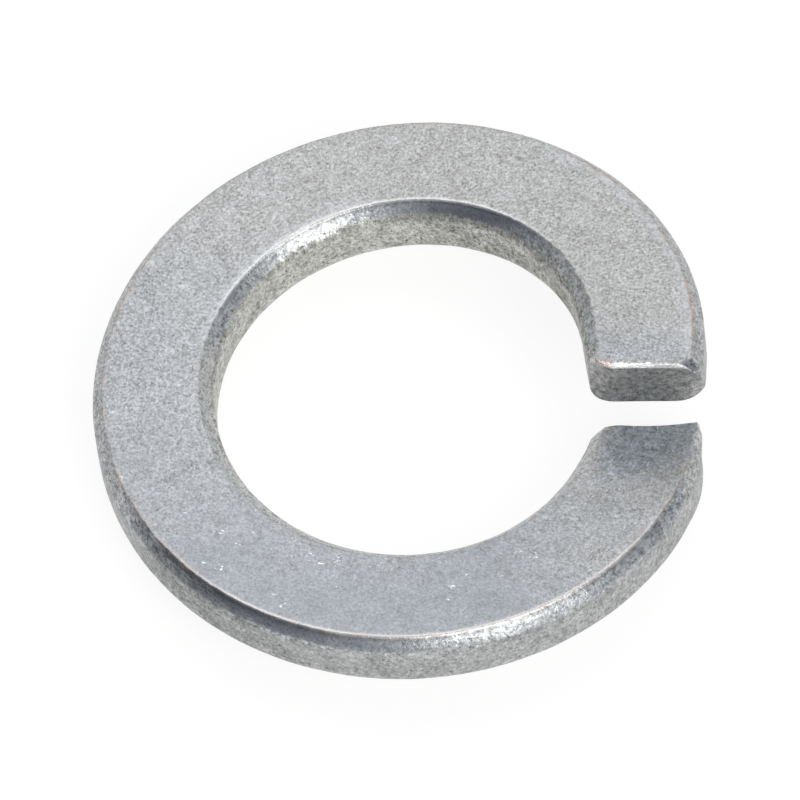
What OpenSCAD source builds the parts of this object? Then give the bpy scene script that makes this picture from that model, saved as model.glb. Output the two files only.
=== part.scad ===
// Spring lock washer: one turn of a nearly rectangular wire, coiled left-hand into an open ring.
// The two sheared ends stand one above the other, with a narrow gap between them.
// Sized for a 12 mm bolt. The axis is Z, the centre of the ring is at the origin
// and the ends meet on +X. Seen from above, the wire climbs clockwise.

/* [Ring] */
// Diameter of the hole that the bolt passes through
bore_d = 12.2; // [11.8:0.1:13]
// Width of the wire, from the bore to the rim
wire_w = 4.0; // [3.4:0.1:4.6]
// Thickness of the wire, from its lower face to its upper face
wire_t = 2.5; // [2.2:0.05:2.8]
// How far the wire climbs in one full turn
coil_rise = 3.66; // [3.2:0.02:4.4]

/* [Wire edges] */
// Width of the rounded bevel between the upper face and the rim
rim_bevel_w = 0.36; // [0.2:0.02:0.6]
// Width of the rounded bevel between the upper face and the bore
bore_bevel_w = 0.47; // [0.2:0.02:0.6]
// Radius of both upper bevels, larger than their width so that the face keeps a crisp edge
bevel_r = 0.8; // [0.7:0.05:1]
// Radius that blends the lower face into the bore and the rim
lower_edge_r = 0.95; // [0.6:0.05:1.1]
// Angle at which the rounded edges run out into the two walls
run_out = 12; // [8:1:20]

/* [Upper end] */
// How far the top edge of the upper end reaches past the +X line
upper_reach = 0.28; // [0:0.02:0.5]
// Lean of the upper end face, undercut below its top edge
upper_lean = 13; // [0:1:20]
// Skew of the upper end face, set back towards the rim
upper_skew = 3; // [0:1:10]
// How far the upper end's top corner at the bore is set back from its top edge
upper_corner_back = 1.1; // [0:0.1:2]
// How far its bottom corner at the rim is set back, where the shear rounded it
upper_foot_back = 0.22; // [0:0.02:0.4]
// How far the bore wall swings outwards at the upper end
upper_flare = 0.32; // [0:0.02:0.4]
// Angle round the ring over which it swings out
upper_flare_angle = 16; // [8:1:30]

/* [Lower end] */
// How far the top edge of the lower end reaches past the +X line
lower_reach = 0.44; // [0:0.02:0.6]
// Lean of the lower end face at the bore, undercut below its top edge
lower_lean_bore = 8; // [0:1:15]
// Lean of the lower end face at the rim
lower_lean_rim = 30; // [10:1:35]
// Skew of the lower end face, reaching out towards the rim
lower_skew = 7; // [0:1:10]
// Hollow of the top edge of the lower end, as the shear left it
lower_hollow = 0.25; // [0:0.05:0.4]
// How far the lower tip is pressed down out of the coil
tip_dip = 0.12; // [0:0.02:0.3]
// Angle round the ring over which the lower tip bends
tip_dip_angle = 16; // [8:1:25]

// How far the lower end's top corner at the bore is set back from its top edge
lower_corner_back = 0.3; // [0:0.1:1]
// How far the bore wall swings outwards at the lower end
lower_flare = 0.18; // [0:0.02:0.4]
// Angle round the ring over which it swings out
lower_flare_angle = 30; // [8:1:40]
// How far the rim swings inwards at the lower end
lower_taper = 0.34; // [0:0.02:0.5]
// Angle round the ring over which it swings in
lower_taper_angle = 12; // [8:1:30]

/* [Smoothness] */
// Steps along the coil
coil_steps = 96; // [60:4:140]
// Steps around each rounded edge
edge_steps = 4; // [3:1:8]

/* [Hidden] */

bore_r = bore_d / 2;
rim_r = bore_r + wire_w;
mid_r = (bore_r + rim_r) / 2;
half_t = wire_t / 2;
// The swept wire is a little wider than the ring, and the true round walls are cut from it.
// Each rounded edge stops just inside its wall, then a small ledge carries the wire past it.
overrun = 0.06;
ledge = 0.012;
face_bore_r = bore_r + bore_bevel_w;
face_rim_r = rim_r - rim_bevel_w;
// Steps across the upper face, so that the hollow of the lower end shows
face_steps = 4;
// Sizes of the outline's copies across each end face
face_rings = [0.8, 0.5];
bore_facets = 144;

// A rounded edge runs from a flat face to a wall: points as [distance in from the wall,
// depth below the face, 0], then one more point on the wall, marked 1, that is pushed past it.
// width is where the edge meets the face, radius is its roundness.
function edge_points(width, radius) =
    let (
        across = ledge + radius * cos(run_out),
        depth = sqrt(pow(radius, 2) - pow(across - width, 2)),
        face_angle = acos((across - width) / radius)
    )
    concat(
        [for (i = [0:edge_steps])
            let (a = face_angle + (run_out - face_angle) * i / edge_steps)
            [across - radius * cos(a), depth - radius * sin(a), 0]
        ],
        [[0, depth - radius * sin(run_out), 1]]
    );

// The lower edges are full blends, so the lower face has no crisp line
lower_width = ledge + lower_edge_r * cos(run_out);

function reversed(list) = [for (i = [len(list) - 1:-1:0]) list[i]];

// The closed outline of the wire, as [radius from the axis, height above the middle of the wire,
// which wall it is pushed past: 1 the rim, -1 the bore, 0 neither], from the upper face round by
// the rim, the lower face and the bore.
function wire_outline() = concat(
    [for (i = [1:face_steps - 1])
        [face_bore_r + (face_rim_r - face_bore_r) * i / face_steps, half_t, 0]
    ],
    [for (p = edge_points(rim_bevel_w, bevel_r)) [rim_r - p[0], half_t - p[1], p[2]]],
    [for (p = reversed(edge_points(lower_width, lower_edge_r)))
        [rim_r - p[0], p[1] - half_t, p[2]]
    ],
    [for (p = edge_points(lower_width, lower_edge_r)) [bore_r + p[0], p[1] - half_t, -p[2]]],
    [for (p = reversed(edge_points(bore_bevel_w, bevel_r)))
        [bore_r + p[0], half_t - p[1], -p[2]]
    ]
);

// Where each end face lies, as a distance along the ring past the +X line
function across_wire(r) = (r - mid_r) / (wire_w / 2);
// 1 at the top corner on the bore side, falling away quickly across the face and below
function top_corner(r, height) =
    pow(min(across_wire(r), 0), 8) * pow(max(0, 0.5 + height / wire_t), 2);
// 1 at the bottom corner on the rim side
function foot_corner(r, height) =
    pow(max(across_wire(r), 0), 6) * pow(max(0, 0.5 - height / wire_t), 2);
function upper_face_at(r, height) =
    upper_reach
    - (half_t - height) * tan(upper_lean)
    - (r - mid_r) * tan(upper_skew)
    - upper_corner_back * top_corner(r, height)
    - upper_foot_back * foot_corner(r, height);
function lower_lean_at(r) =
    lower_lean_bore
    + (lower_lean_rim - lower_lean_bore) * (min(max(across_wire(r), -1), 1) + 1) / 2;
function lower_face_at(r, height) =
    -lower_reach
    + (half_t - height) * tan(lower_lean_at(r))
    - (r - mid_r) * tan(lower_skew)
    + lower_hollow * (1 - pow(across_wire(r), 2))
    + lower_corner_back * top_corner(r, height);

function degrees_of(length, r) = length / r * 180 / PI;
function start_angle(p) = degrees_of(lower_face_at(p[0], p[1]), p[0]);
function finish_angle(p) = 360 + degrees_of(upper_face_at(p[0], p[1]), p[0]);

// 0 along the ring, rising smoothly to 1 at an end
function near_end(away, reach) = pow(max(0, 1 - max(0, away) / reach), 2);
function coil_height(a) =
    coil_rise * (a / 360 - 0.5) - tip_dip * near_end(a, tip_dip_angle);
// How far a wall has moved from its true circle, into the wire
function bore_shift(a) =
    max(
        lower_flare * near_end(a, lower_flare_angle),
        upper_flare * near_end(360 - a, upper_flare_angle)
    );
function rim_shift(a) = lower_taper * near_end(a, lower_taper_angle);
// The push past a wall, outwards at the rim and inwards at the bore. It fades out only where
// that wall swings in by itself.
function past_rim(a) = overrun * (1 - near_end(a, lower_taper_angle));
function past_bore(a) =
    -overrun * (1 - max(near_end(a, lower_flare_angle), near_end(360 - a, upper_flare_angle)));
function past_wall(wall, a) = wall > 0 ? past_rim(a) : wall < 0 ? past_bore(a) : 0;
function shifted(r, a) =
    r
    + bore_shift(a) * max(-across_wire(r), 0)
    - rim_shift(a) * pow(max(across_wire(r), 0), 4);

// A point of the wire at an angle clockwise round the ring, seen from above
function wire_point(p, a) =
    let (r = shifted(p[0], a) + past_wall(p[2], a))
    [r * cos(a), -r * sin(a), coil_height(a) + p[1]];

// One turn of wire. Every point of the outline runs from its own place on the lower end face
// to its own place on the upper end face, so the sheared faces come out in one sweep.
// The end faces are closed by smaller and smaller copies of the outline, down to one point.
function shrunk(p, k) = [mid_r + (p[0] - mid_r) * k, p[1] * k, 0];
module coiled_wire() {
    outline = wire_outline();
    n = len(outline);
    centre = [mid_r, 0, 0];
    sweep = [for (s = [0:coil_steps])
        for (p = outline)
            wire_point(p, start_angle(p) + (finish_angle(p) - start_angle(p)) * s / coil_steps)
    ];
    lower_rings = [for (k = reversed(face_rings)) for (p = outline)
        wire_point(shrunk(p, k), start_angle(shrunk(p, k)))
    ];
    upper_rings = [for (k = face_rings) for (p = outline)
        wire_point(shrunk(p, k), finish_angle(shrunk(p, k)))
    ];
    rings = concat(lower_rings, sweep, upper_rings);
    last = len(rings) - n;
    lower_centre = wire_point(centre, start_angle(centre));
    upper_centre = wire_point(centre, finish_angle(centre));
    sides = [for (s = [0:len(rings) / n - 2])
        for (i = [0:n - 1])
            let (
                a = s * n + i,
                b = s * n + (i + 1) % n
            )
            each [[a, b, a + n], [b, b + n, a + n]]
    ];
    lower_cap = [for (i = [0:n - 1]) [last + n, (i + 1) % n, i]];
    upper_cap = [for (i = [0:n - 1]) [last + n + 1, last + i, last + (i + 1) % n]];
    polyhedron(
        points = concat(rings, [lower_centre, upper_centre]),
        faces = concat(sides, lower_cap, upper_cap),
        convexity = 6
    );
}

// The washer: the coiled wire with its rim and bore cut truly round
module washer() {
    tall = coil_rise + wire_t + 2;
    color("silver")
    difference() {
        intersection() {
            coiled_wire();
            cylinder(r = rim_r, h = tall, center = true, $fn = bore_facets);
        }
        cylinder(r = bore_r, h = tall + 2, center = true, $fn = bore_facets);
    }
}

washer();
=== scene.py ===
# %% [markdown]
# # A spring lock washer in matt zinc plate
#
# A spring lock washer is one turn of nearly rectangular steel wire. It is coiled left-hand, so that
# it bites when a right-hand nut tries to turn back, and its two ends are left one above the other.
# This lesson builds it as one mesh and dresses it in a thin, matt coat of zinc.
#
# First comes the frame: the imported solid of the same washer, which fixes its place and its size.

# %% Load the frame
import math

import bpy
import numpy as np
from mathutils import Matrix, Vector, noise


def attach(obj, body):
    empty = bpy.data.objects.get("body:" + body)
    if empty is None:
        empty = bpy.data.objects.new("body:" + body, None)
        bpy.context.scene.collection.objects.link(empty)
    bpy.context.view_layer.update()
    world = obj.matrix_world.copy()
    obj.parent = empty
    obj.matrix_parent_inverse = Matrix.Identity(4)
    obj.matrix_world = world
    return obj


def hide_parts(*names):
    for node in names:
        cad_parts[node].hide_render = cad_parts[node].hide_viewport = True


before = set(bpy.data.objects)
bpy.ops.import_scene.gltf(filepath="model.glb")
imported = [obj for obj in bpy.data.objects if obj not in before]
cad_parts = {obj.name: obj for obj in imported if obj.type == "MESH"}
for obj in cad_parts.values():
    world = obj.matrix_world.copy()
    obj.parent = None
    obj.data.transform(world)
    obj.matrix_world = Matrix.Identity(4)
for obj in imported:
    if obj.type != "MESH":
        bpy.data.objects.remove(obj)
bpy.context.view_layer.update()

MM = 0.001

# %% [markdown]
# ## The camera
#
# The camera is a long lens, held well back, looking down on the ring by about 53 degrees from the
# front and a little from the right. A long lens keeps a small ring nearly free of perspective.
# It is set by its direction, its distance and its roll, because those are what a photographer sets,
# and the matrix is built from three unit vectors: right, up and back.

# %% Place the camera
PHOTO_PIXELS = 800
FOCAL_PIXELS = 10825.0
SENSOR_WIDTH = 36.0
CLIP_NEAR, CLIP_FAR = 0.01, 10.0
CAMERA_DISTANCE = 354.4 * MM
CAMERA_TARGET = Vector((-0.028, -0.102, 0.0035)) * MM
CAMERA_AZIMUTH = math.radians(16.174)
CAMERA_ELEVATION = math.radians(53.314)
CAMERA_ROLL = math.radians(-8.204)


def direction(azimuth, elevation):
    """The unit vector towards an azimuth, 0 in front and 90 on the right, and an elevation."""
    return Vector((
        math.sin(azimuth) * math.cos(elevation),
        -math.cos(azimuth) * math.cos(elevation),
        math.sin(elevation),
    ))


camera_back = direction(CAMERA_AZIMUTH, CAMERA_ELEVATION)
level_right = Vector((math.cos(CAMERA_AZIMUTH), math.sin(CAMERA_AZIMUTH), 0.0))
level_up = camera_back.cross(level_right)
camera_right = level_right * math.cos(CAMERA_ROLL) + level_up * math.sin(CAMERA_ROLL)
camera_up = level_up * math.cos(CAMERA_ROLL) - level_right * math.sin(CAMERA_ROLL)
camera_turn = Matrix((camera_right, camera_up, camera_back)).transposed().to_4x4()
camera_stand = CAMERA_TARGET + camera_back * CAMERA_DISTANCE

lens = bpy.data.cameras.new("camera")
lens.sensor_width = SENSOR_WIDTH
lens.lens = FOCAL_PIXELS * SENSOR_WIDTH / PHOTO_PIXELS
lens.clip_start, lens.clip_end = CLIP_NEAR, CLIP_FAR
camera = bpy.data.objects.new("camera", lens)
camera.matrix_world = Matrix.Translation(camera_stand) @ camera_turn
bpy.context.scene.collection.objects.link(camera)
bpy.context.scene.camera = camera
print("lens", round(lens.lens, 1), "mm")

# %% [markdown]
# ## The form of the wire
#
# The wire could be cut from a solid with booleans, but its faces are helical and every sheared end
# has a lean of its own, so a sweep is cleaner. The outline of the wire is drawn once, and each of
# its points runs on its own helix from its place on the lower end face to its place on the upper
# one. All sizes of the wire are in millimetres and degrees until the mesh is made.

# %% Sizes of the washer
BORE_R = 6.1
WIRE_W = 4.0
WIRE_T = 2.5
COIL_RISE = 3.66
RIM_R = BORE_R + WIRE_W
MID_R = BORE_R + WIRE_W / 2
HALF_T = WIRE_T / 2
print("ring", 2 * BORE_R, "to", 2 * RIM_R, "mm across, wire", WIRE_W, "by", WIRE_T, "mm")


# %% Helpers for the sums
def tan(angle):
    return np.tan(np.radians(angle))


def across_wire(r):
    """-1 at the bore, 0 in the middle of the wire, 1 at the rim."""
    return (r - MID_R) / (WIRE_W / 2)


def ease(value, low, high):
    """0 below low, 1 above high, and a smooth step between."""
    t = np.clip((value - low) / (high - low), 0, 1)
    return t * t * (3 - 2 * t)


print("bore, middle and rim:", across_wire(np.array([BORE_R, MID_R, RIM_R])))

# %% [markdown]
# ### The two sheared ends
#
# A press cuts the wire off with a punch, so neither end face is flat or square. Each one leans in
# below its top edge, is skewed a little, and has a corner that the shear pulled back. The lower tip
# is also pressed down, and its walls swing into the wire, because the punch squeezed it.

# %% Corners that the shear moved
TOP_CORNER_FROM = 0.42
RIM_CORNER_FROM = 0.65


def from_part(side, start):
    """0 until side reaches start, then rising evenly to 1 where side is 1."""
    return np.clip((side - start) / (1 - start), 0, 1)


def above_foot(h):
    """0 at the foot of the wire and 1 at its top."""
    return np.maximum(0, 0.5 + h / WIRE_T)


def top_corner(r, h):
    """1 at the top corner on the bore side, fading over the first third of the width."""
    return from_part(-across_wire(r), TOP_CORNER_FROM) ** 2 * above_foot(h) ** 1.5


def rim_corner(r, h):
    """1 at the top corner on the rim side, and little elsewhere."""
    return from_part(across_wire(r), RIM_CORNER_FROM) ** 2 * above_foot(h) ** 2


def foot_corner(r, h):
    """1 at the bottom corner on the rim side, and little elsewhere."""
    return np.maximum(across_wire(r), 0) ** 6 * above_foot(-h) ** 1.5


print("corners reach", round(top_corner(BORE_R, HALF_T), 2), round(rim_corner(RIM_R, HALF_T), 2),
      "and", round(foot_corner(RIM_R, -HALF_T), 2))

# %% Where the end faces lie
UPPER_REACH = 0.18
UPPER_LEAN = 10.6
UPPER_SKEW = 6.5
UPPER_TOP_CORNER_BACK = 0.85
UPPER_FOOT_CORNER_BACK = 0.42
UPPER_RIM_CORNER_OUT = 0.2

LOWER_REACH = 0.46
LOWER_LEAN_BORE = 8
LOWER_LEAN_RIM = 30
LOWER_SKEW = 7
LOWER_HOLLOW = 0.22
LOWER_TOP_CORNER_BACK = 0.45


def upper_face_at(r, h):
    """How far the upper end reaches past the +X line, along the ring."""
    flat = UPPER_REACH - (HALF_T - h) * tan(UPPER_LEAN) - (r - MID_R) * tan(UPPER_SKEW)
    return (flat - UPPER_TOP_CORNER_BACK * top_corner(r, h)
            - UPPER_FOOT_CORNER_BACK * foot_corner(r, h)
            + UPPER_RIM_CORNER_OUT * rim_corner(r, h))


def lower_face_at(r, h):
    """Where the lower end starts, along the ring from the +X line."""
    side = across_wire(r)
    to_rim = (np.clip(side, -1, 1) + 1) / 2
    lean = LOWER_LEAN_BORE + (LOWER_LEAN_RIM - LOWER_LEAN_BORE) * to_rim
    flat = -LOWER_REACH + (HALF_T - h) * tan(lean) - (r - MID_R) * tan(LOWER_SKEW)
    return flat + LOWER_HOLLOW * (1 - side ** 2) + LOWER_TOP_CORNER_BACK * top_corner(r, h)


def start_angle(r, h):
    return np.degrees(lower_face_at(r, h) / r)


def finish_angle(r, h):
    return 360 + np.degrees(upper_face_at(r, h) / r)


print("the middle of the wire runs from", round(start_angle(MID_R, 0), 1),
      "to", round(finish_angle(MID_R, 0), 1), "degrees")

# %% How the wire bends near its ends
TIP_DIP = 0.12
TIP_DIP_ANGLE = 16
UPPER_FLARE = 0.30
UPPER_FLARE_TOP = 0.05
UPPER_FLARE_ANGLE = 16
LOWER_FLARE = 0.13
LOWER_FLARE_ANGLE = 30
RIM_TAPER = 0.25
RIM_TAPER_ANGLE = 12


def near_end(away, reach):
    """0 along the ring, rising smoothly to 1 at an end."""
    return np.clip(1 - np.maximum(away, 0) / reach, 0, 1) ** 2


def coil_height(angle):
    """The height of the middle of the wire, with the lower tip pressed down."""
    return COIL_RISE * (angle / 360 - 0.5) - TIP_DIP * near_end(angle, TIP_DIP_ANGLE)


def shifted(r, h, angle):
    """The radius after the walls have swung into the wire near its ends."""
    upper_flare = UPPER_FLARE + UPPER_FLARE_TOP * np.clip(h / HALF_T, -1, 1)
    bore_swing = np.maximum(LOWER_FLARE * near_end(angle, LOWER_FLARE_ANGLE),
                            upper_flare * near_end(360 - angle, UPPER_FLARE_ANGLE))
    rim_swing = RIM_TAPER * near_end(angle, RIM_TAPER_ANGLE)
    side = across_wire(r)
    return r + bore_swing * np.maximum(-side, 0) - rim_swing * np.maximum(side, 0) ** 4


print("the middle of the wire climbs from", round(coil_height(0), 2),
      "to", round(coil_height(360), 2), "mm")

# %% [markdown]
# ### The outline of the wire
#
# The upper face meets each wall in a rounded bevel, with a crisp ridge where the bevel starts. The
# lower edges are full blends. A ridge on real metal is never perfectly sharp, so the outline is
# drawn with many points and blurred by a few hundredths of a millimetre, and then its points are
# spaced again: close on the ridges, where light runs along them, and wide on the flats.

# %% Draw the outline
RIM_BEVEL_W = 0.36
BORE_BEVEL_W = 0.47
BEVEL_R = 0.8
BEVEL_BULGE = 0.3
LOWER_EDGE_R = 0.95
RUN_OUT = math.radians(12.0)
FACE_ROLL = 0.012
FACE_ROLL_W = 0.3
ARC_POINTS = 30
ROLL_POINTS = 8


def edge_arc(width, radius):
    """A rounded edge, as distances in from the wall and depths below the face."""
    across = radius * math.cos(RUN_OUT)
    depth = math.sqrt(radius ** 2 - (across - width) ** 2)
    turn = np.linspace(math.acos((across - width) / radius), RUN_OUT, ARC_POINTS)
    return across - radius * np.cos(turn), depth - radius * np.sin(turn)


def bevel_line(width):
    """A bevel that bulges less than its arc, after a slight roll of the face before it."""
    inwards, down = edge_arc(width, BEVEL_R)
    part = np.linspace(0, 1, ARC_POINTS)
    straight_in, straight_down = inwards[0] * (1 - part), down[-1] * part
    inwards = straight_in + BEVEL_BULGE * (inwards - straight_in)
    down = straight_down + BEVEL_BULGE * (down - straight_down)
    before = np.linspace(FACE_ROLL_W, 0, ROLL_POINTS, endpoint=False)
    roll_down = FACE_ROLL * (1 - before / FACE_ROLL_W) ** 2
    fade = FACE_ROLL * (1 - part)
    return np.concatenate([width + before, inwards]), np.concatenate([roll_down, down + fade])


rim_in, rim_down = bevel_line(RIM_BEVEL_W)
bore_in, bore_down = bevel_line(BORE_BEVEL_W)
foot_in, foot_up = edge_arc(LOWER_EDGE_R * math.cos(RUN_OUT), LOWER_EDGE_R)
corners = np.concatenate([
    np.stack([RIM_R - rim_in, HALF_T - rim_down], 1),
    np.stack([RIM_R - foot_in, foot_up - HALF_T], 1)[::-1],
    np.stack([BORE_R + foot_in, foot_up - HALF_T], 1),
    np.stack([BORE_R + bore_in, HALF_T - bore_down], 1)[::-1],
])
corners = np.vstack([corners, corners[:1]])


def walked(line):
    """The distance walked along a line, at each of its points."""
    return np.concatenate([[0], np.cumsum(np.linalg.norm(np.diff(line, axis=0), axis=1))])


outline_length = walked(corners)[-1]
print("outline", round(outline_length, 2), "mm round")

# %% Round its ridges
DRAWN_POINTS = 4096
RIDGE_BLUR = 0.028
WALL_BLUR = 0.06
RIDGE_BLUR_W, WALL_BLUR_FROM = 0.12, 0.4

drawn_step = outline_length / DRAWN_POINTS
drawn_at = np.arange(DRAWN_POINTS) * drawn_step
drawn = np.stack([np.interp(drawn_at, walked(corners), corners[:, k]) for k in (0, 1)], 1)
waves = np.fft.fftfreq(DRAWN_POINTS, drawn_step)


def blurred(reach):
    keep = np.exp(-2 * (np.pi * waves * reach) ** 2)[:, None]
    return np.fft.ifft(np.fft.fft(drawn, axis=0) * keep, axis=0).real


ridge_points = np.array([[RIM_R - RIM_BEVEL_W, HALF_T], [BORE_R + BORE_BEVEL_W, HALF_T]])
to_ridge = np.min([np.linalg.norm(drawn - p, axis=1) for p in ridge_points], axis=0)
soft = ease(to_ridge, RIDGE_BLUR_W, WALL_BLUR_FROM)[:, None]
rounded = blurred(RIDGE_BLUR) * (1 - soft) + blurred(WALL_BLUR) * soft
print("ridges moved by", round(float(np.linalg.norm(rounded - drawn, axis=1).max()), 3), "mm")

# %% Space its points
BEVEL_FOOT_H = 0.35
BEVEL_SPACING = 0.06
FLAT_SPACING = 0.13
RIDGE_SPACING, SPACING_GROWTH = 0.018, 0.35

on_top = rounded[:, 1] > HALF_T - FACE_ROLL
on_bevel = (rounded[:, 1] > BEVEL_FOOT_H) & ~on_top
spacing = np.minimum(np.where(on_bevel, BEVEL_SPACING, FLAT_SPACING),
                     RIDGE_SPACING + SPACING_GROWTH * to_ridge)
steps_at = np.concatenate([[0], np.cumsum(drawn_step / spacing)])
OUTLINE_POINTS = int(round(steps_at[-1]))
numbers = np.arange(DRAWN_POINTS + 1)
pick = np.interp(np.arange(OUTLINE_POINTS) * steps_at[-1] / OUTLINE_POINTS, steps_at, numbers)
closed = np.vstack([rounded, rounded[:1]])
section = np.stack([np.interp(pick, numbers, closed[:, k]) for k in (0, 1)], 1)

ahead, behind = np.roll(section, -1, axis=0), np.roll(section, 1, axis=0)
along_edge = (ahead - behind) / np.linalg.norm(ahead - behind, axis=1)[:, None]
section_normal = np.stack([along_edge[:, 1], -along_edge[:, 0]], 1)
if np.sum(section_normal * (section - [MID_R, 0])) < 0:
    section_normal = -section_normal
print(OUTLINE_POINTS, "points in the outline")

# %% [markdown]
# ### The sweep
#
# The mesh is a grid: one row for each step along the coil, one column for each outline point. Rows
# crowd together near the two ends, where the shear left its marks. Each end face is closed by
# smaller and smaller copies of the outline, so that it too has points that can be moved.

# %% Lay out the rows
COIL_STEPS = 640
CAP_STEPS = 13
END_CROWDING = 0.72

u = np.arange(COIL_STEPS + 1) / COIL_STEPS
travel = u - END_CROWDING * np.sin(2 * np.pi * u) / (2 * np.pi)
cap_sizes = np.sin(np.pi / 2 * np.arange(1, CAP_STEPS) / CAP_STEPS)


def outline_row(size, part):
    """Radius, height, angle and depth into the cap, a part of the way along the coil."""
    r, h = MID_R + (section[:, 0] - MID_R) * size, section[:, 1] * size
    start, finish = start_angle(r, h), finish_angle(r, h)
    return r, h, start + (finish - start) * part, np.full_like(r, 1 - size)


grid = np.array([outline_row(size, 0) for size in cap_sizes]
                + [outline_row(1, part) for part in travel]
                + [outline_row(size, 1) for size in cap_sizes[::-1]])
R, H, A, in_cap = grid.transpose(1, 0, 2)
rows = len(grid)
print(rows, "rows of", OUTLINE_POINTS, "points")

# %% [markdown]
# ### Marks of the press
#
# Rolled and tumbled wire is never quite even, so slow noises will move each point along its own
# normal, by about a hundredth of a millimetre. Where the punch went in, the upper face rolls down
# towards the cut, and the roll catches the light as a bright lip. At the rim end of that lip a
# small chip is missing. All this could be sculpted, but written as distances from the ends it
# follows every change of size.

# %% Noises of the rolled wire
def uneven(scale, seed):
    """Smooth noise between -1 and 1 at every point of the grid, for lumps of 1 / scale mm."""
    x = (R * np.cos(np.radians(A)) * scale + seed).ravel()
    y = (-R * np.sin(np.radians(A)) * scale - seed).ravel()
    z = ((coil_height(A) + H) * scale).ravel()
    values = [noise.noise((a, b, c)) for a, b, c in zip(x, y, z)]
    return np.array(values).reshape(R.shape)


lumps = uneven(0.9, 3.1)
dents = uneven(2.6, 8.4)
nicks = uneven(6.5, 1.7)
print("noises reach", [round(float(np.abs(n).max()), 2) for n in (lumps, dents, nicks)])

# %% The lip, the chip and the lower tip
LIP_W, LIP_W_FALL, LIP_W_WANDER = 0.27, 0.09, 0.08
LIP_AT_BORE = 0.35
LIP_DROP = 0.075
CHIP_R, CHIP_BACK = 9.74, 0.27
CHIP_W, CHIP_L = 0.30, 0.21
CHIP_DROP = 0.09
TIP_ROLL_W = 0.3
TIP_ROLL_DROP = 0.02

to_upper = np.radians(finish_angle(R, H) - A) * R
to_lower = np.radians(A - start_angle(R, H)) * R
across = across_wire(R)
on_top_half = ease(H, 0.25, 1.1)

lip_w = ((LIP_W - LIP_W_FALL * across + LIP_W_WANDER * dents)
         * (LIP_AT_BORE + (1 - LIP_AT_BORE) * ease(across, -0.95, -0.5)))
lip_part = np.clip(1 - to_upper / lip_w, 0, 1)
chip_away = (((R - CHIP_R + 0.12 * dents) / CHIP_W) ** 2
             + ((to_upper - CHIP_BACK - 0.1 * lumps) / CHIP_L) ** 2)
chip_part = np.exp(-chip_away ** 1.5)
tip_part = np.clip(1 - to_lower / TIP_ROLL_W, 0, 1)
drop = on_top_half * (LIP_DROP * lip_part ** 2 + CHIP_DROP * chip_part
                      + TIP_ROLL_DROP * tip_part ** 2)
print("the top edge drops by up to", round(float(drop.max()), 3), "mm")

# %% [markdown]
# ### Crisp and worn ridges
#
# The ridges above the bevels are crisp where the rolls pressed hardest, on the front of the rim and
# at the back of the bore. Elsewhere they are worn and wander by a few hundredths of a millimetre,
# and at two corners of the ends the shear pushed them further. Places round the ring are given in
# degrees along the wire, from the lower end to the upper one.

# %% Move the ridges
RIDGE_REACH = 0.22
DENT_WEAR, NICK_WEAR = 0.045, 0.035
CORNER_REACH = 0.3
BORE_CORNER_OUT, BORE_CORNER_L = 0.2, 0.9
RIM_CORNER_OUT, RIM_CORNER_L = 0.08, 1.6

rim_half = ease(across, -0.1, 0.1)


def at_rim_or_bore(at_rim, at_bore):
    return rim_half * at_rim + (1 - rim_half) * at_bore


def stretch(rise_from, rise_to, *fall):
    """1 along a part of the ring. Without a fall it lasts to the upper end."""
    risen = ease(A, rise_from, rise_to)
    return risen * (1 - ease(A, *fall)) if fall else risen


crisp_part = at_rim_or_bore(stretch(14, 36, 108, 140), stretch(186, 214, 286, 322))
smooth_part = crisp_part * at_rim_or_bore(
    0.35 + 0.35 * stretch(44, 54) + 0.3 * stretch(70, 88),
    0.35 + 0.4 * stretch(212, 224) + 0.25 * stretch(252, 268))
rim_back = stretch(180, 215, 285, 310) * rim_half

ridge_away = [np.hypot(R - r, H - h) for r, h in ridge_points]
from_ridge = np.min(ridge_away, axis=0)
wear = (1 - 0.8 * crisp_part) * (1 - 0.75 * rim_back) * (DENT_WEAR * dents + NICK_WEAR * nicks)
wander = np.exp(-(from_ridge / RIDGE_REACH) ** 2) * wear
at_corner = np.exp(-(from_ridge / CORNER_REACH) ** 2)
wander -= (BORE_CORNER_OUT * (1 - rim_half) * at_corner
           * np.clip(1 - to_upper / BORE_CORNER_L, 0, 1) ** 2)
wander += RIM_CORNER_OUT * rim_half * at_corner * np.clip(1 - to_lower / RIM_CORNER_L, 0, 1) ** 2
print("the ridges wander by up to", round(float(np.abs(wander).max()), 3), "mm")

# %% Place every point
FACE_LUMPS, WALL_LUMPS = 0.004, 0.008
SHEAR_MARKS = 0.02

on_walls = np.abs(section_normal[:, 0])
push = (1 - np.sqrt(in_cap)) * (FACE_LUMPS + WALL_LUMPS * on_walls) * (lumps + 0.5 * dents)
radius = shifted(R, H, A) + wander + push * section_normal[:, 0]
height = coil_height(A) + H + push * section_normal[:, 1] - drop
angle = np.radians(A) + SHEAR_MARKS * dents * ease(in_cap, 0.02, 0.25) / R

points = np.stack([radius * np.cos(angle), -radius * np.sin(angle), height], -1)
lower_centre, upper_centre = points[0].mean(0), points[-1].mean(0)
vertices = np.vstack([points.reshape(-1, 3), lower_centre, upper_centre]) * MM
print("box in mm:", np.round(points.min((0, 1)), 2), np.round(points.max((0, 1)), 2))

# %% Make the mesh
SHARP_FROM = math.radians(38)

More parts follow.
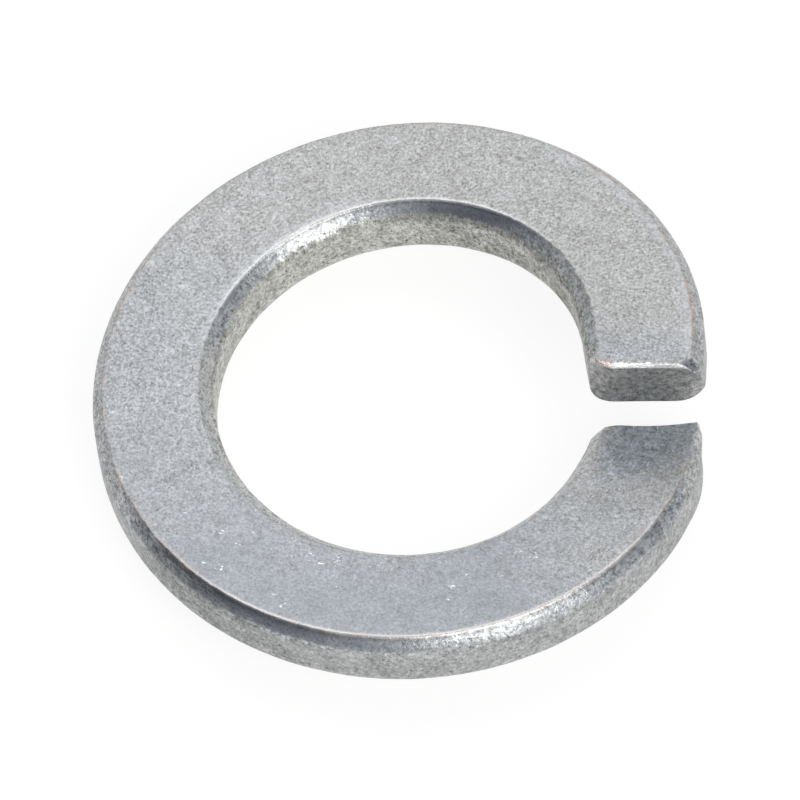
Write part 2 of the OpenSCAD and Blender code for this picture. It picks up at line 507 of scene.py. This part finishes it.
ring = np.arange(OUTLINE_POINTS)
next_ring = (ring + 1) % OUTLINE_POINTS
row_start = np.arange(rows - 1)[:, None] * OUTLINE_POINTS
next_row = row_start + OUTLINE_POINTS
quads = np.stack([row_start + ring, row_start + next_ring, next_row + next_ring,
                  next_row + ring], -1).reshape(-1, 4)
last = (rows - 1) * OUTLINE_POINTS
lower_middle = np.full_like(ring, rows * OUTLINE_POINTS)
lower_fan = np.stack([next_ring, ring, lower_middle], 1)
upper_fan = np.stack([last + ring, last + next_ring, lower_middle + 1], 1)
triangles = np.vstack([quads[:, [0, 1, 2]], quads[:, [0, 2, 3]], lower_fan, upper_fan])
faces = [list(map(int, f)) for f in (*quads, *lower_fan, *upper_fan)]


def six_volumes():
    """Six times the volume between each triangle and the origin, above 0 if it faces out."""
    a, b, c = (vertices[triangles[:, k]] for k in range(3))
    return np.einsum("ij,ij->i", a, np.cross(b, c))


if six_volumes().sum() < 0:
    faces = [f[::-1] for f in faces]
    triangles = triangles[:, ::-1]
mesh = bpy.data.meshes.new("washer_wire")
mesh.from_pydata(vertices.tolist(), [], faces)
mesh.update()
mesh.shade_smooth()
mesh.set_sharp_from_angle(angle=SHARP_FROM)
washer = bpy.data.objects.new("washer_wire", mesh)
bpy.context.scene.collection.objects.link(washer)
print(len(triangles), "triangles,", round(six_volumes().sum() / 6 / MM ** 3, 1), "cubic mm")

# %% [markdown]
# ### Naming the zones
#
# The coat of zinc does not look the same all over: it is speckled on the face, smooth on the rolled
# bevels, coarse on the walls and torn on the sheared ends. The sweep knows which zone each point is
# in, so it is written down on the mesh as numbers that the material can read. Painting a mask by
# hand would do the same, but it would have to be painted again after every change of shape.

# %% A writer for the zones
def write_zone(name, values, at_centres=0.0):
    """One number for each point of the mesh. The centres of the two end faces come last."""
    layer = mesh.attributes.new(name, "FLOAT", "POINT")
    every = np.append(values.ravel(), [at_centres, at_centres])
    layer.data.foreach_set("value", every.astype(np.float32))
    print("zone", name, "reaches", round(float(every.max()), 2))


on_sweep = (in_cap <= 0).astype(float)
write_zone("rim_side", rim_half, 0.5)
write_zone("sheared", ease(in_cap, 0.0, 0.02), 1.0)

# %% Zones across the wire
BORE_BEVEL_D = 0.39
RIM_BEVEL_MORE_D = 0.07
RIDGE_LINE_W = 0.06
GROOVE_SHADE_IN, GROOVE_SHADE_W = 0.075, 0.03

ridge_r = ridge_points[:, 0]
past_ridge = np.abs(R - ridge_r.mean()) - np.ptp(ridge_r) / 2
bevel_foot = HALF_T - (BORE_BEVEL_D + RIM_BEVEL_MORE_D * rim_half)
beyond_ridge = ease(past_ridge, -0.01, 0.015)
on_flat = ease(H, HALF_T - 0.1, HALF_T - 0.05) * (1 - beyond_ridge) * on_sweep
write_zone("bevel", ease(H, bevel_foot - 0.2, bevel_foot + 0.2) * beyond_ridge * on_sweep)
write_zone("face", on_flat)
# The ridge line: worn zinc, and a painted highlight along the edge.
write_zone("ridge_wear_and_highlight", np.exp(-(from_ridge / RIDGE_LINE_W) ** 2) * on_sweep)
# A thin dark line under the crisp ridges, painted shade for a tiny groove that the mesh doesn't
# have.
write_zone("groove_painted_shade", np.exp(-((past_ridge - GROOVE_SHADE_IN) / GROOVE_SHADE_W) ** 2) * ease(H, 0.9, 1.1)
           * crisp_part * on_sweep)
write_zone("strip", ease(past_ridge, -0.34, -0.16) * on_flat * at_rim_or_bore(
    stretch(282, 300), stretch(180, 196, 246, 262)))

# %% Zones along the wire
write_zone("crisp", crisp_part)
write_zone("smooth", smooth_part)
write_zone("satin", at_rim_or_bore(
    stretch(4, 22, 130, 156),
    stretch(172, 200) * (1 - 0.55 * stretch(296, 316))))
# Stretches of the bevels painted dark as shade, where they mirror a dark part of the room.
write_zone("bevel_painted_shade", at_rim_or_bore(
    0.7 * stretch(106, 122, 132, 156) + 0.3 * stretch(8, 16, 30, 44),
    0.26 * stretch(196, 203, 213, 220) + 0.3 * stretch(316, 332)))
# Two stretches of the walls and tumbled edges painted darker as shade.
write_zone("wall_and_edge_shade", at_rim_or_bore(
    stretch(94, 116, 132, 144),
    0.8 * stretch(264, 288) * (1 - 0.5 * stretch(338, 348))))

# %% Zones near the ends
on_lip = on_top_half * ease(H, 0.9, 1.2) * lip_part
write_zone("lip", on_lip)
write_zone("by_lip", 1 - ease(to_upper, 0.4, 2.4))
# The chip's zone, where its hollow is painted dark as shade.
write_zone("chip_painted_shade", on_top_half * chip_part)
# The lower tip: burnished with scratches, and painted darker as shade for its pressed-down face.
write_zone("tip", (1 - ease(to_lower, 0.8, 3.8)) * ease(across, -0.85, -0.4)
           * (1 - 0.45 * ease(across, 0.0, 0.6)))

# %% [markdown]
# Where the zinc is worn off a ridge, a trace of copper colour shows. The zone holds how much: 1 for
# copper in patches and 2 for copper all along, and the material takes 1 off after adding a noise.

# %% The copper zone and the place on the wire
COPPER_LINE_W = 0.055

lip_at_bore = ease(on_lip, 0.1, 0.4) * (1 - ease(across, -0.74, -0.42))
along_rim = stretch(5, 8) * (1 + 0.2 * (1 - stretch(13, 16)) + 0.75 * stretch(290, 300)
                             + 0.6 * stretch(116, 120, 128, 134))
on_rim_ridge = np.exp(-(ridge_away[0] / COPPER_LINE_W) ** 2) * on_sweep
write_zone("copper", np.maximum(2 * lip_at_bore, on_rim_ridge * along_rim))

round_outline = np.broadcast_to(walked(section), R.shape)
wire_place = np.stack([np.radians(A) * R, round_outline, in_cap], -1).reshape(-1, 3)
centre_places = [[0, 0, 1], [2 * math.pi * MID_R, 0, 1]]
layer = mesh.attributes.new("wire_place", "FLOAT_VECTOR", "POINT")
layer.data.foreach_set("vector", np.vstack([wire_place, centre_places]).astype(np.float32).ravel())
print([a.name for a in mesh.attributes if not a.is_internal])

# %% [markdown]
# ## The zinc
#
# Matt zinc plate is a rough metal: light bluish grey, with a fine speckle of darker, olive pits
# about a tenth of a millimetre across. Each finish below is a sum of noises and zones. Written as
# nodes by hand it would be a page of wires, so a small class turns a Python sum into those nodes.

# %% A class for shader sums
class Flow:
    """A socket of the material, on which sums can be written."""

    def __init__(self, tree, socket=None):
        self.tree = tree
        self.socket = socket

    def node(self, kind, settings=None, inputs=None, output=0):
        """A node of any type: its settings first, then a value or a link for each socket."""
        made = self.tree.nodes.new(kind)
        for name, value in (settings or {}).items():
            setattr(made, name, value)
        for name, value in (inputs or {}).items():
            if isinstance(value, Flow):
                self.tree.links.new(value.socket, made.inputs[name])
            else:
                made.inputs[name].default_value = value
        return Flow(self.tree, made.outputs[output])

    def maths(self, operation, *values):
        return self.node("ShaderNodeMath", {"operation": operation}, dict(enumerate(values)))

    def __add__(self, other):
        return self.maths("ADD", self, other)

    def __sub__(self, other):
        return self.maths("SUBTRACT", self, other)

    def __rsub__(self, other):
        return self.maths("SUBTRACT", other, self)

    def __mul__(self, other):
        return self.maths("MULTIPLY", self, other)

    __radd__ = __add__
    __rmul__ = __mul__

    def clamp(self):
        return self.node("ShaderNodeClamp", None, {0: self})

    def ease(self, low, high):
        """0 below low, 1 above high, and a smooth step between."""
        return self.node("ShaderNodeMapRange", {"interpolation_type": "SMOOTHSTEP"},
                         {"Value": self, "From Min": low, "From Max": high})

    def blend(self, low, high):
        """A number between low and high, by this mask."""
        return self.node("ShaderNodeMix", {"data_type": "FLOAT"}, {0: self, 2: low, 3: high})

    def colour(self, low, high):
        """A colour between low and high, by this mask."""
        return self.node("ShaderNodeMix", {"data_type": "RGBA"}, {0: self, 6: low, 7: high}, 2)

    def vector(self, operation, other, output=0):
        """This vector with another one, such as ADD, MULTIPLY or DOT_PRODUCT."""
        return self.node("ShaderNodeVectorMath", {"operation": operation}, {0: self, 1: other},
                         output)

    def finish(self):
        """Sends a shader to the material's output."""
        output = self.tree.nodes.new("ShaderNodeOutputMaterial")
        self.tree.links.new(self.socket, output.inputs["Surface"])


def new_material(name):
    """An empty material, and a Flow that makes nodes in it."""
    material = bpy.data.materials.new(name)
    material.use_nodes = True
    material.node_tree.nodes.clear()
    return material, Flow(material.node_tree)


def paint(red, green, blue):
    return (red, green, blue, 1.0)


# %% [markdown]
# ### Noises that the finishes share
#
# The speckle is made from noise in the washer's own space, in millimetres, so that it has its real
# size and needs no unwrapping. The bevels were rolled along the wire, so their streaks are a noise
# that is stretched in the wire's own coordinates instead.

# %% Start the material
zinc, start = new_material("zinc_plate")
place = start.node("ShaderNodeVectorMath", {"operation": "SCALE"},
                   {0: start.node("ShaderNodeTexCoord", None, None, "Object"), "Scale": 1 / MM})


def zone(name, output="Fac"):
    return start.node("ShaderNodeAttribute", {"attribute_name": name}, None, output)


def on_wire(along, around):
    """The wire's own coordinates, scaled along the coil and round the outline."""
    return zone("wire_place", "Vector").vector("MULTIPLY", (along, around, 1.0))


def moved(vector, seed):
    return vector.vector("ADD", (seed, seed * 0.7, -seed))


def grain(scale, detail, roughness, vector=place, seed=0.0):
    """Noise about 0.5, with features of about 1 / scale mm."""
    return start.node("ShaderNodeTexNoise", None, {
        "Vector": moved(vector, seed), "Scale": scale, "Detail": detail, "Roughness": roughness})


def dots(scale, share, seed):
    """Round dots about 0.8 / scale mm wide, in a share of the cells of a Voronoi pattern."""
    cell = {"Vector": moved(place, seed), "Scale": scale}
    cell_colour = start.node("ShaderNodeTexVoronoi", None, cell, "Color")
    luck = start.node("ShaderNodeSeparateColor", None, {0: cell_colour})
    to_middle = start.node("ShaderNodeTexVoronoi", None, cell, "Distance")
    return luck.ease(1 - share, 1.1 - share) * (1 - to_middle.ease(0.08, 0.55))


# %% Make the shared noises
speckle = grain(10.5, 3.0, 0.62)
coarse = grain(4.2, 2.5, 0.6, seed=17.0)
fine = grain(22.0, 2.0, 0.6, seed=13.0)
clusters = grain(1.3, 2.0, 0.5, seed=4.0)
clouds = grain(0.28, 2.0, 0.5, seed=9.0)
streaks = grain(1.0, 3.0, 0.6, on_wire(13.0, 1.6))
pits = dots(10.5, 0.5, seed=2.0)
glints = dots(11.0, 0.22, seed=5.0)
print("noises:", len(zinc.node_tree.nodes), "nodes")

# %% [markdown]
# ### The speckled face
#
# The face is an even scatter of light, bluish grains and darker, olive ones. It is cooler towards
# the front left and beside the lip of the upper end. On the front it is smoother, where the washer
# rubbed against others in the barrel, and it is painted a little darker there as shade, where the
# light of the overhead box falls off.

# %% Grains of the face
WARM_GRAINS = paint(0.29, 0.285, 0.26), paint(0.86, 0.865, 0.88)
COOL_GRAINS = paint(0.255, 0.255, 0.25), paint(0.80, 0.825, 0.87)
RUBBED_AND_SHADED_GRAINS = paint(0.215, 0.225, 0.23), paint(0.585, 0.615, 0.665)
SHADED_AND_RUBBED_WAY = (0.0, -0.115, 0.0)
COOL_WAY = (-0.05, -0.10, 0.0)

# Towards the front the face is rubbed smoother, and its colour is painted darker there as shade.
rubbed_and_shaded = (place.vector("DOT_PRODUCT", SHADED_AND_RUBBED_WAY, "Value") + (clouds - 0.5)).ease(0.30, 1.0)
cool = (place.vector("DOT_PRODUCT", COOL_WAY, "Value") + (clouds - 0.5) * 1.2
        + zone("by_lip") * 0.9).ease(-0.65, 0.5)
face_grain = ((speckle - 0.5) * (1.8 - rubbed_and_shaded * 0.8) + (fine - 0.5) * 0.8
              + (coarse - 0.5) * (0.6 - rubbed_and_shaded * 0.2) + (clusters - 0.5) * 0.3 + 0.59
              - pits * (0.30 - rubbed_and_shaded * 0.15) + glints * (0.18 - rubbed_and_shaded * 0.04)).clamp()
face_colour = cool.colour(face_grain.colour(*WARM_GRAINS), face_grain.colour(*COOL_GRAINS))
face_colour = (rubbed_and_shaded * 0.9).colour(face_colour, face_grain.colour(*RUBBED_AND_SHADED_GRAINS))
print("with the grains of the face:", len(zinc.node_tree.nodes), "nodes")

# %% [markdown]
# The lower tip has fine scratches along it, because the punch burnished it, and it is painted
# darker still as shade, because its pressed-down face mirrors less light. A smoother, lighter strip
# runs beside parts of the ridges. Where washers knocked together, small bright flecks lie in loose
# groups: dots, cut up by a noise that is drawn out from left to right.

# %% Marks on the face
TIP_BURNISH_AND_SHADE_GRAINS = paint(0.13, 0.155, 0.185), paint(0.83, 0.89, 0.98)
STRIP_COLOUR = paint(0.79, 0.82, 0.865)
FLECK_COLOUR = paint(0.88, 0.89, 0.90)

# The tip's colour is partly burnish and partly painted shade for its pressed-down face.
tip = (zone("tip") + (coarse - 0.5) * 0.7).ease(0.25, 0.75)
scratches = grain(1.0, 2.0, 0.5, on_wire(2.2, 9.0), 6.0).ease(0.60, 0.68)
tip_grain = ((speckle - 0.5) * 1.4 + (fine - 0.5) * 0.7 + (coarse - 0.5) * 1.2 + 0.54
             + scratches * 0.4).clamp()
face_colour = (tip * 0.9).colour(face_colour, tip_grain.colour(*TIP_BURNISH_AND_SHADE_GRAINS))

strip = zone("strip") * (0.5 + (coarse - 0.5) * 1.6 + (speckle - 0.5) * 0.8).clamp()
face_colour = (strip * 0.7).colour(face_colour, STRIP_COLOUR)

squiggles = grain(1.0, 2.0, 0.5, place.vector("MULTIPLY", (6.0, 15.0, 15.0)), 3.0)
flecks = (dots(2.1, 0.3, seed=7.0).ease(0.3, 0.7) * squiggles.ease(0.575, 0.65)
          * (rubbed_and_shaded * 0.45 + cool * 0.2 + clusters).ease(0.62, 0.85))
face_colour = flecks.colour(face_colour, FLECK_COLOUR)
print("with the face:", len(zinc.node_tree.nodes), "nodes")

# %% [markdown]
# ### The walls and the bevels
#
# The walls are coarser than the face and a little warmer, because the zinc is thin there, and two
# stretches of them, with the tumbled edges beside them, are painted darker as shade. The bevels
# were rolled, so they are smooth and bluish, almost a satin mirror, with streaks along the wire,
# and a few stretches are painted dark as shade, where they mirror a dark part of the room. Where
# the rolls did not reach, a bevel keeps the matt grain of a tumbled edge.

# %% Colours of the walls
BORE_WALL_GRAINS = paint(0.105, 0.105, 0.09), paint(0.84, 0.84, 0.81)
RIM_WALL_GRAINS = paint(0.155, 0.165, 0.165), paint(0.69, 0.70, 0.695)
EDGE_GRAINS = paint(0.13, 0.135, 0.135), paint(0.86, 0.87, 0.88)

rim_side = zone("rim_side")
# Painted shade: two stretches of the walls and tumbled edges are darker.
wall_and_edge_shade = zone("wall_and_edge_shade")
wall_grain = ((grain(9.0, 3.0, 0.62, seed=21.0) - 0.5) * 1.5
              + (fine - 0.5) * rim_side.blend(0.9, 0.4) + (coarse - 0.5) * 0.9
              + (clusters - 0.5) * 0.7 + 0.62 - wall_and_edge_shade * 0.17
              - pits * clusters.ease(0.35, 0.6) * 0.5).clamp()
wall_colour = rim_side.colour(wall_grain.colour(*BORE_WALL_GRAINS),
                              wall_grain.colour(*RIM_WALL_GRAINS))
edge_grain = ((speckle - 0.5) * 2.1 + (fine - 0.5) * 0.9 + (coarse - 0.5) * 0.9
              + rim_side.blend(0.8, 0.62) - wall_and_edge_shade * 0.3 - pits * 0.35).clamp()
edge_colour = edge_grain.colour(*EDGE_GRAINS)

# %% Colour of the rolled bevels
BEVEL_GRAINS = paint(0.175, 0.20, 0.23), paint(0.82, 0.855, 0.90)
BEVEL_SHADE_COLOUR = paint(0.12, 0.125, 0.135)

smooth = zone("smooth")
# On the smooth stretches of the bore's bevel the grain is painted a little lighter, as painted
# light for its reflections.
bevel_grain = ((streaks - 0.5) * 0.5 + (speckle - 0.5) * (2.8 - smooth * 1.2)
               + (coarse - 0.5) * (2.6 - smooth * 1.5) - pits * (0.35 - smooth * 0.15)
               + smooth.ease(0.7, 0.95) * (1 - rim_side) * 0.13 + 0.59).clamp()
# The bevels' painted shade: darker where they mirror a dark part of the room.
bevel_colour = zone("bevel_painted_shade").colour(bevel_grain.colour(*BEVEL_GRAINS), BEVEL_SHADE_COLOUR)
print("with the walls and bevels:", len(zinc.node_tree.nodes), "nodes")

# %% [markdown]
# ### The sheared ends, the ridges and the lip
#
# The sheared ends are dark and torn. The ridge above each bevel is worn, and its line is also
# painted bright as a highlight. Where it is crisp, a thin dark line under it is painted shade for
# a tiny groove, and here and there the ridge shows copper. The lip at the upper end shines, and the
# chip beside it is painted dark as shade in its hollow. Every mask gets a ragged border from the
# same noises, so that no line on the metal is drawn with a ruler.

# %% Masks with ragged borders
SHEARED_GRAINS = paint(0.055, 0.058, 0.052), paint(0.71, 0.715, 0.71)

torn = ((grain(1.0, 3.0, 0.65, on_wire(4.5, 4.5), 2.0) - 0.5) * 1.2
        + (grain(5.0, 3.0, 0.65, seed=31.0) - 0.5) * 1.6 + 0.5).clamp()
sheared_colour = torn.colour(*SHEARED_GRAINS)
sheared = zone("sheared").ease(0.1, 0.9)
on_face = zone("face").ease(0.3, 0.7)
crisp = zone("crisp")

ragged = (speckle - 0.5) * 1.3 + (coarse - 0.5) * 1.1 - pits * 0.3
bevel = ((zone("bevel") + ragged * (1 - zone("face"))).ease(0.38, 0.62)
         * zone("bevel").ease(0.02, 0.25))
satin = bevel * (zone("satin") + (coarse - 0.5) * 0.8).ease(0.25, 0.75)
# The ridge line is partly worn zinc and partly a painted highlight, brightest where it is crisp.
ridge_wear_and_highlight = zone("ridge_wear_and_highlight") * (0.45 + fine * 0.9).clamp() * (0.2 + crisp * 0.8)
# Painted shade for a tiny groove under the crisp ridges.
groove_painted_shade = zone("groove_painted_shade") * (speckle + pits * 0.4).ease(0.35, 0.6)
lip = (zone("lip") + (speckle - 0.5) * 0.9).ease(0.3, 0.6) * zone("lip").ease(0.02, 0.2)
chip_painted_shade = (zone("chip_painted_shade") + (coarse - 0.5) * 1.2).ease(0.35, 0.65) * zone("chip_painted_shade").ease(0.02, 0.2)
copper = ((zone("copper") + clusters.ease(0.42, 0.58) - 1).clamp()
          * speckle.ease(0.35, 0.5) * (1 - crisp * 0.6))

# %% Lay one colour over another
GROOVE_SHADE_COLOUR = paint(0.16, 0.165, 0.17)
RIDGE_WEAR_AND_HIGHLIGHT_COLOURS = paint(0.95, 0.95, 0.95), paint(0.97, 0.93, 0.905)
LIP_COLOUR = paint(0.88, 0.88, 0.87)
COPPER_COLOUR = paint(0.66, 0.46, 0.34)
CHIP_SHADE_GRAINS = paint(0.07, 0.07, 0.075), paint(0.34, 0.36, 0.38)

colour = (bevel * 0.8).colour(wall_colour, edge_colour)
colour = on_face.colour(colour, face_colour)
colour = satin.colour(colour, bevel_colour)
# Under crisp ridges a thin dark line is painted shade, standing for a tiny groove.
colour = (groove_painted_shade * 0.75).colour(colour, GROOVE_SHADE_COLOUR)
colour = (ridge_wear_and_highlight * 0.9).colour(colour, rim_side.colour(*RIDGE_WEAR_AND_HIGHLIGHT_COLOURS))
colour = lip.colour(colour, LIP_COLOUR)
colour = (copper * 0.55).colour(colour, COPPER_COLOUR)
# The chip is painted dark as shade in its hollow.
colour = chip_painted_shade.colour(colour, speckle.ease(0.32, 0.5).colour(*CHIP_SHADE_GRAINS))
colour = sheared.colour(colour, sheared_colour)
print("with every colour:", len(zinc.node_tree.nodes), "nodes")

# %% [markdown]
# ### Gloss and grain
#
# The face and walls are matt, the bevels satin, and the ridge, the lip and the flecks nearly
# polished. The same noises that give the colours also give a bump, so that each dark grain is a
# small hollow and each light one stands up.

# %% Roughness, bump and shader
GRAIN_DEPTH = 0.02 * MM
BUMP_STRENGTH = 0.55
METALLIC = 0.9

roughness = on_face.blend(0.56, 0.52 - rubbed_and_shaded * 0.06 - tip * 0.06) + (1 - face_grain) * 0.05
roughness = satin.blend(roughness, 0.25 + (1 - bevel_grain) * 0.16 + (1 - smooth) * 0.06)
roughness = (ridge_wear_and_highlight * 0.9).blend(roughness, 0.24)
roughness = flecks.blend(roughness, 0.30)
roughness = lip.blend(roughness, 0.24)
roughness = sheared.blend(roughness, 0.46)

relief = on_face.blend(wall_grain * 0.9 + fine * 0.4,
                       face_grain * (0.7 - rubbed_and_shaded * 0.3) + fine * 0.3)
relief = satin.blend(relief, bevel_grain * (1.0 - smooth * 0.5) + fine * 0.15)
relief = sheared.blend(relief, torn * 1.6)
bump = start.node("ShaderNodeBump", None,
                  {"Height": relief, "Strength": BUMP_STRENGTH, "Distance": GRAIN_DEPTH})
start.node("ShaderNodeBsdfPrincipled", None, {
    "Base Color": colour,
    "Roughness": roughness,
    "Metallic": METALLIC,
    "Normal": bump,
}).finish()
mesh.materials.append(zinc)
print(len(zinc.node_tree.nodes), "nodes in the zinc")

# %% [markdown]
# ## The washer takes its place in the frame
#
# The washer is one loose piece without joints, so its mesh rides on the root body. It is shown in
# place of the solid, whose box it must keep to.

# %% Tie the mesh to the frame
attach(washer, "root")
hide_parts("washer")

# %% [markdown]
# ## How the washer lies
#
# A helical washer can't lie flat. It tips until three points of its lower side touch the table,
# and its centre of mass is lowest then. So the table's direction is found by trying small tilts in
# eight directions and keeping each one that brings the centre down. Such a search can stop on a
# crease between two slopes. Here it stops about a degree and a half from the lowest place, with the
# centre a hundredth of a millimetre too high, which a soft shadow doesn't show. A dense grid of
# tilts or a physics run would go all the way, but more slowly.

# %% Find the resting plane
FIRST_TILT, LAST_TILT, FINER = 0.08, 1e-6, 0.6
LEAST_GAIN = 1e-12
SIDEWAYS = ((1, 0), (-1, 0), (0, 1), (0, -1), (0.7, 0.7), (-0.7, 0.7), (0.7, -0.7), (-0.7, -0.7))

weights = six_volumes()
mass_centre = (vertices[triangles].sum(1) * weights[:, None]).sum(0) / weights.sum() / 4
low_side = vertices[vertices[:, 2] < mass_centre[2]]


def centre_height(tilt):
    """How high the centre of mass stands on a table with this tilt, and the table's up."""
    up = np.array([tilt[0], tilt[1], 1.0])
    up /= np.linalg.norm(up)
    return mass_centre @ up - (low_side @ up).min(), up


tilt, reach = np.zeros(2), FIRST_TILT
best, table_up = centre_height(tilt)
while reach > LAST_TILT:
    found = min((tilt + reach * np.array(way) for way in SIDEWAYS),
                key=lambda t: centre_height(t)[0])
    if centre_height(found)[0] < best - LEAST_GAIN:
        tilt = found
        best, table_up = centre_height(tilt)
    else:
        reach *= FINER
table_up = Vector(table_up)
table_height = float((low_side @ np.array(table_up)).min())
print("the table is tipped by", round(math.degrees(table_up.angle(Vector((0, 0, 1)))), 2),
      "degrees towards azimuth", round(math.degrees(math.atan2(table_up.x, -table_up.y)), 1))
print("camera roll against the table:",
      round(math.degrees(math.atan2(table_up.dot(camera_right), table_up.dot(camera_up))), 2))

# %% [markdown]
# ## The table and the studio
#
# The floor is a wide white sheet. Most of its white is a glow of its own, which Light Path shows to
# the camera and in reflections, but not to matt surfaces. The lamps add the rest, and the washer's
# soft shadow. Seen from below it is clear, so that no view is blocked.

# %% Make white paper
PAPER_COLOUR = paint(0.24, 0.24, 0.24)
PAPER_GLOW = 0.85
WHITE = paint(1, 1, 1)

paper, begin = new_material("white_paper")
seen = begin.node("ShaderNodeLightPath", None, None, "Is Camera Ray")
mirrored = begin.node("ShaderNodeLightPath", None, None, "Is Glossy Ray")
through = begin.node("ShaderNodeLightPath", None, None, "Is Transmission Ray")
glow = (seen + mirrored + through).clamp() * PAPER_GLOW
lit = begin.node("ShaderNodeBsdfDiffuse", None, {"Color": PAPER_COLOUR})
own = begin.node("ShaderNodeEmission", None, {"Color": WHITE, "Strength": glow})
both = begin.node("ShaderNodeAddShader", None, {0: lit, 1: own})
clear = begin.node("ShaderNodeBsdfTransparent")
from_below = begin.node("ShaderNodeNewGeometry", None, None, "Backfacing")
begin.node("ShaderNodeMixShader", None, {0: from_below, 1: both, 2: clear}).finish()
print(len(paper.node_tree.nodes), "nodes in the paper")

# %% Lay the sheet
SHEET_R = 4.0
SHEET_SIDES = 96
SHEET_GAP = 0.005 * MM


def stage_piece(name, points, faces, material):
    """A piece of the studio, which isn't part of the washer."""
    stage_mesh = bpy.data.meshes.new(name)
    stage_mesh.from_pydata(points, [], faces)
    stage_mesh.materials.append(material)
    piece = bpy.data.objects.new(name, stage_mesh)
    bpy.context.scene.collection.objects.link(piece)
    return piece


turns = [2 * math.pi * k / SHEET_SIDES for k in range(SHEET_SIDES)]
floor = stage_piece("floor", [(SHEET_R * math.cos(t), SHEET_R * math.sin(t), 0.0) for t in turns],
                    [tuple(range(SHEET_SIDES))], paper)
floor.matrix_world = (Matrix.Translation(table_up * (table_height - SHEET_GAP))
                      @ table_up.to_track_quat("Z", "Y").to_matrix().to_4x4())
print("a sheet of", 2 * SHEET_R, "m across, under the lowest points of the washer")

# %% [markdown]
# ## Light
#
# Bevels are read by what they mirror. A large soft box hangs overhead towards the back, where the
# flat face looks, and a tall, slightly warm one stands in front on the right, where its image
# crosses the bevels. The rest of the room is pale and a little cool.

# %% Hang the lamps
def soft_box(name, azimuth, elevation, distance, width, depth, brightness, tint):
    """A lamp that faces the washer. A mirror would show it at this brightness, 1 for white."""
    lamp = bpy.data.lights.new(name, "AREA")
    lamp.shape = "RECTANGLE"
    lamp.size, lamp.size_y = width, depth
    lamp.energy = brightness * math.pi * width * depth
    lamp.color = tint
    holder = bpy.data.objects.new(name, lamp)
    towards = direction(math.radians(azimuth), math.radians(elevation))
    holder.matrix_world = (Matrix.Translation(towards * distance)
                           @ towards.to_track_quat("Z", "Y").to_matrix().to_4x4())
    bpy.context.scene.collection.objects.link(holder)
    print(name, "at", azimuth, elevation, "gives", round(lamp.energy, 2), "W")


soft_box("box_overhead", azimuth=196, elevation=66, distance=0.6, width=0.50, depth=0.50,
         brightness=1.25, tint=(1.0, 1.0, 0.99))
soft_box("box_front_right", azimuth=42, elevation=31, distance=0.6, width=0.32, depth=0.46,
         brightness=2.75, tint=(1.0, 0.965, 0.885))

# %% Paint the room
ROOM_COLOUR = paint(0.395, 0.402, 0.415)

room = bpy.data.worlds.new("room")
room.use_nodes = True
room.node_tree.nodes["Background"].inputs["Color"].default_value = ROOM_COLOUR
bpy.context.scene.world = room
bpy.context.scene.view_settings.view_transform = "Standard"

# %% [markdown]
# A tall, dark and bluish card stands in front on the left, curved round the washer. Photographers
# put one there so that bright metal gets a dark side too: it gives the bevels their dark parts. The
# camera doesn't see it, only the metal does.

# %% Stand up the dark card
CARD_COLOUR = paint(0.066, 0.079, 0.125)
CARD_R = 0.62
CARD_FOOT, CARD_TOP = -0.12, 0.54
CARD_FROM, CARD_SWEEP = -86, 73
CARD_STEPS = 16

card_black, ink = new_material("card_black")
ink.node("ShaderNodeBsdfDiffuse", None, {"Color": CARD_COLOUR}).finish()
card_points = []
for k in range(CARD_STEPS + 1):
    upright = direction(math.radians(CARD_FROM + CARD_SWEEP * k / CARD_STEPS), 0.0) * CARD_R
    card_points += [tuple(upright + Vector((0, 0, z))) for z in (CARD_FOOT, CARD_TOP)]
card_faces = [(2 * k, 2 * k + 1, 2 * k + 3, 2 * k + 2) for k in range(CARD_STEPS)]
card = stage_piece("dark_card", card_points, card_faces, card_black)
card.visible_camera = False
print("the card covers azimuth", CARD_FROM, "to", CARD_FROM + CARD_SWEEP, "degrees")
